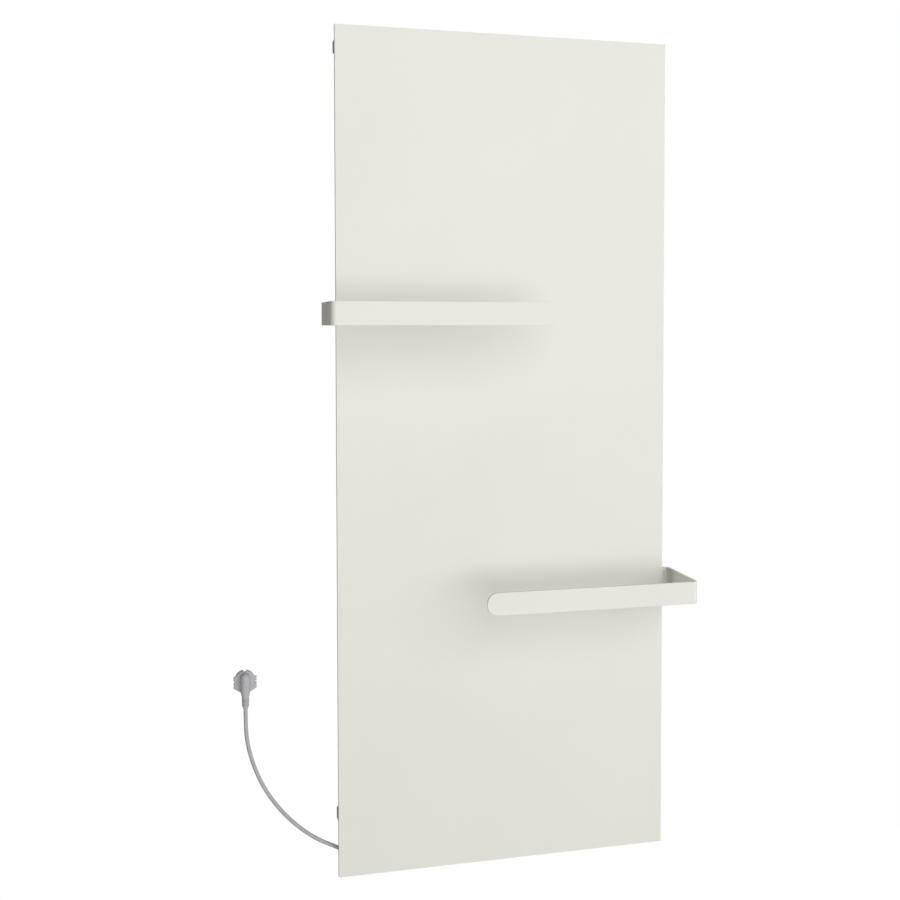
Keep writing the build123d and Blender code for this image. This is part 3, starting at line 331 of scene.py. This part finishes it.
def sheath(name, light, dark, roughness):
    """Extruded cable sheath: faint drawn lines, talc bloom and small scuffs."""
    finish = Finish(name, IOR=1.5)
    bloom = finish.noise(size=0.02, detail=4)
    scuffed = finish.noise(size=0.003, detail=5, stretch=(1, 1, 0.3))
    scuffs = finish.ranged(scuffed, 0, 0.3, start=0.6, stop=0.75)
    finish.colour(scuffs, finish.colour(finish.ranged(bloom, 0, 1), light, dark), toned(dark, 0.8))
    finish.roughness(bloom, *roughness)
    finish.bump(finish.noise(size=0.0012, detail=2, stretch=(1, 1, 0.2)), depth=0.00005, strength=0.35)
    finish.bump(finish.noise(size=0.00025, detail=1), depth=0.00001, strength=0.4)
    return finish.material


def metal(name, light, dark, roughness, stretch=(1, 1, 1), depth=0.000015, streak=0.0012):
    """Bare or plated metal with fine working lines and a mottled oxide."""
    finish = Finish(name, Metallic=1.0)
    finish.colour(finish.ranged(finish.noise(size=0.006, detail=4), 0, 1), light, dark)
    lines = finish.noise(streak, stretch=stretch)
    finish.roughness(lines, *roughness)
    finish.bump(lines, depth, strength=0.5)
    return finish.material


def galvanised(name, size=0.011):
    """Hot-dipped sheet: overlapping zinc crystals of the given size that differ in tone and sheen."""
    finish = Finish(name, Metallic=1.0)
    crystals = finish.cells(size, output="Color")
    tones = finish.ranged(crystals, 0, 1, start=0.2, stop=0.8)
    stains = finish.ranged(finish.noise(size=0.12, detail=5), 0, 0.3, start=0.5, stop=0.8)
    zinc = finish.colour(tones, srgb(196, 199, 200), srgb(187, 190, 192))
    finish.colour(stains, zinc, srgb(172, 174, 174))
    finish.roughness(crystals, 0.42, 0.5)
    finish.bump(finish.cells(size, "DISTANCE_TO_EDGE"), depth=0.00004, strength=0.25)
    finish.bump(finish.noise(size=0.0012), depth=0.000015, strength=0.4)
    return finish.material


def fibre(name):
    """Pressed mineral fibre: matted strands, and pin holes drawn as painted shade."""
    finish = Finish(name)
    strands = finish.noise(size=0.0016, detail=6, stretch=(1, 1, 0.25))
    # Darker spots in the pin holes are painted shade
    pin_hole_shade = finish.ranged(finish.cells(size=0.004), 1, 0, start=0.05, stop=0.3)
    matted = finish.colour(finish.ranged(strands, 0, 1), srgb(224, 218, 200), srgb(196, 188, 166))
    finish.colour(pin_hole_shade, matted, srgb(168, 158, 136))
    finish.roughness(strands, 0.85, 0.95)
    finish.bump(strands, depth=0.0003, strength=0.6)
    return finish.material


def laminate(name):
    """Circuit board: green solder mask over raised copper, dulled by a little dust."""
    finish = Finish(name, IOR=1.55)
    copper = finish.ranged(finish.cells(0.0035, "DISTANCE_TO_EDGE"), 1, 0, start=0.06, stop=0.12)
    dust = finish.ranged(finish.noise(size=0.01, detail=4), 0, 0.15)
    mask = finish.colour(copper, srgb(22, 84, 46), srgb(58, 130, 70))
    finish.colour(dust, mask, srgb(120, 128, 110))
    finish.roughness(finish.noise(size=0.004), 0.25, 0.4)
    finish.bump(copper, depth=0.00004, strength=0.5)
    finish.bump(finish.noise(size=0.0008, detail=2), depth=0.00001, strength=0.4)
    return finish.material


def clear_lens(name):
    """Clear moulded plastic with a slight haze."""
    finish = Finish(name, IOR=1.49, Transmission_Weight=0.85)
    haze = finish.noise(size=0.001)
    finish.colour(finish.ranged(haze, 0, 1), srgb(236, 246, 240), srgb(214, 232, 220))
    finish.roughness(haze, 0.12, 0.24)
    finish.bump(haze, depth=0.00001, strength=0.3)
    return finish.material


# One material for each of the record's slots: two colours, then the lowest and highest roughness
FINISHES = {
    "warm_white_enamel": enamel("warm_white_enamel", srgb(232, 231, 224), srgb(229, 228, 221), (0.6, 0.7)),
    "galvanised_sheet": galvanised("galvanised_sheet"),
    "zinc_screw": metal("zinc_screw", srgb(206, 208, 210), srgb(178, 180, 180), (0.24, 0.42)),
    "dark_nylon": moulded("dark_nylon", srgb(74, 74, 76), srgb(60, 60, 62), (0.5, 0.65)),
    "heater_silicone": sheath("heater_silicone", srgb(196, 92, 62), srgb(176, 76, 50), (0.55, 0.7)),
    "aluminium_foil": metal(
        "aluminium_foil",
        srgb(226, 228, 230),
        srgb(206, 208, 211),
        (0.22, 0.4),
        stretch=(1, 1, 0.05),
        depth=0.00008,
        streak=0.01,
    ),
    "insulation_fibre": fibre("insulation_fibre"),
    "cutout_case": moulded("cutout_case", srgb(70, 70, 72), srgb(52, 52, 54), (0.4, 0.55)),
    "receiver_plastic": moulded("receiver_plastic", srgb(226, 226, 221), srgb(218, 218, 212), (0.42, 0.56)),
    "black_plastic": moulded(
        "black_plastic", srgb(44, 44, 46), srgb(34, 34, 36), (0.26, 0.4), grain=0.0002, depth=0.000006
    ),
    "grey_button": moulded("grey_button", srgb(142, 144, 147), srgb(126, 128, 131), (0.36, 0.5)),
    "board_green": laminate("board_green"),
    "terminal_plastic": moulded("terminal_plastic", srgb(60, 142, 84), srgb(46, 122, 70), (0.35, 0.5)),
    "status_lens": clear_lens("status_lens"),
    "lamp_white": moulded(
        "lamp_white", srgb(244, 244, 238), srgb(236, 236, 226), (0.2, 0.32), grain=0.0002, depth=0.000004
    ),
    "grey_nylon": moulded("grey_nylon", srgb(156, 158, 161), srgb(142, 144, 147), (0.42, 0.56)),
    "seal_rubber": sheath("seal_rubber", srgb(52, 52, 54), srgb(40, 40, 42), (0.6, 0.75)),
    "lead_insulation": sheath("lead_insulation", srgb(142, 96, 62), srgb(122, 80, 50), (0.35, 0.5)),
    "grey_cord": sheath("grey_cord", srgb(176, 176, 178), srgb(166, 166, 168), (0.46, 0.6)),
    "grey_plug": moulded("grey_plug", srgb(179, 179, 182), srgb(173, 173, 176), (0.46, 0.58), depth=0.00001),
    "plug_metal": metal("plug_metal", srgb(224, 224, 222), srgb(204, 204, 202), (0.14, 0.28), (1, 0.1, 1)),
}


def clothe(piece, material):
    """The material goes on the object and not on its mesh, which stays as the frame has it."""
    if not piece.data.materials:
        piece.data.materials.append(None)
    for slot in piece.material_slots:
        slot.link = "OBJECT"
        slot.material = material


for subpart in frame["record"]["subparts"]:
    clothe(nodes[subpart["node"]], FINISHES[subpart["material_slot"]])
clothe(cord_flex, FINISHES["grey_cord"])
# The slot walls take dark nylon as painted shade: the plug is one grey moulding, and the dark stands for the
# shade deep in its earth slots
clothe(plug_slot_shade, FINISHES["dark_nylon"])


def seen_directly(tree):
    """1 for rays from the camera, a mirror or a clear piece, and 0 for the light that falls on surfaces."""
    path = tree.nodes.new("ShaderNodeLightPath")
    total = path.outputs["Is Camera Ray"]
    for name in ("Is Glossy Ray", "Is Transmission Ray"):
        node = tree.nodes.new("ShaderNodeMath")
        node.operation = "MAXIMUM"
        tree.links.new(total, node.inputs[0])
        tree.links.new(path.outputs[name], node.inputs[1])
        total = node.outputs[0]
    return total


def make_world():
    """White where it is seen, and much dimmer as a light on the part."""
    world = bpy.data.worlds.new("studio_world")
    world.use_nodes = True
    bpy.context.scene.world = world
    tree = world.node_tree
    tree.nodes.clear()
    mix = tree.nodes.new("ShaderNodeMixShader")
    for socket, strength in ((1, AMBIENT_STRENGTH), (2, BACKGROUND_STRENGTH)):
        background = tree.nodes.new("ShaderNodeBackground")
        background.inputs["Strength"].default_value = strength
        background.inputs["Color"].default_value = WHITE
        tree.links.new(background.outputs[0], mix.inputs[socket])
    tree.links.new(seen_directly(tree), mix.inputs[0])
    output = tree.nodes.new("ShaderNodeOutputWorld")
    tree.links.new(mix.outputs[0], output.inputs["Surface"])


def make_floor():
    """A pale floor that takes the part's shadow and is as white as the background elsewhere."""
    mesh = bpy.data.meshes.new("studio_floor")
    build = bmesh.new()
    height = cad_low.z - FLOOR_BELOW_PART
    corners = [
        build.verts.new((x, y, height))
        for x, y in (
            (-FLOOR_HALF_SIZE, -FLOOR_HALF_SIZE),
            (FLOOR_HALF_SIZE, -FLOOR_HALF_SIZE),
            (FLOOR_HALF_SIZE, FLOOR_BEHIND_PART),
            (-FLOOR_HALF_SIZE, FLOOR_BEHIND_PART),
        )
    ]
    build.faces.new(corners)
    build.to_mesh(mesh)
    build.free()
    floor = bpy.data.objects.new("studio_floor", mesh)
    bpy.context.scene.collection.objects.link(floor)
    material = bpy.data.materials.new("studio_floor")
    material.use_nodes = True
    tree = material.node_tree
    shader = tree.nodes["Principled BSDF"]
    shader.inputs["Base Color"].default_value = srgb(244, 244, 242)
    shader.inputs["Roughness"].default_value = FLOOR_ROUGHNESS
    shader.inputs["Emission Color"].default_value = WHITE
    tree.links.new(seen_directly(tree), shader.inputs["Emission Strength"])
    mesh.materials.append(material)


def place_light(data, place, target):
    light = bpy.data.objects.new(data.name, data)
    bpy.context.scene.collection.objects.link(light)
    light.location = place
    light.rotation_mode = "QUATERNION"
    light.rotation_quaternion = (Vector(target) - Vector(place)).to_track_quat("-Z", "Y")
    light.visible_camera = False
    light.visible_glossy = False


def area_light(name, place, target, width, height, power):
    data = bpy.data.lights.new(name, "AREA")
    data.shape = "RECTANGLE"
    data.size = width
    data.size_y = height
    data.energy = power
    place_light(data, place, target)


def distant_light(name, place, target, spread, strength):
    """Light as from a very large, far away source: even over the whole part, with wide soft shadows."""
    data = bpy.data.lights.new(name, "SUN")
    data.angle = math.radians(spread)
    data.energy = strength
    place_light(data, place, target)


def make_lights():
    middle = (cad_low + cad_high) / 2
    distant_light("key_light", middle + KEY_OFFSET, middle, spread=82, strength=2.61)
    area_light("side_light", (2.6, -2.2, 0.4), middle, width=1.8, height=2.4, power=8)
    area_light("low_light", (0.4, -2.5, -0.75), (0.0, 0.0, -0.75), width=1.6, height=0.8, power=4.5)
    area_light("back_light", (1.2, 3.2, 0.6), middle, width=2.4, height=2.4, power=40)


make_world()
make_floor()
make_lights()
bpy.context.scene.view_settings.view_transform = "Standard"
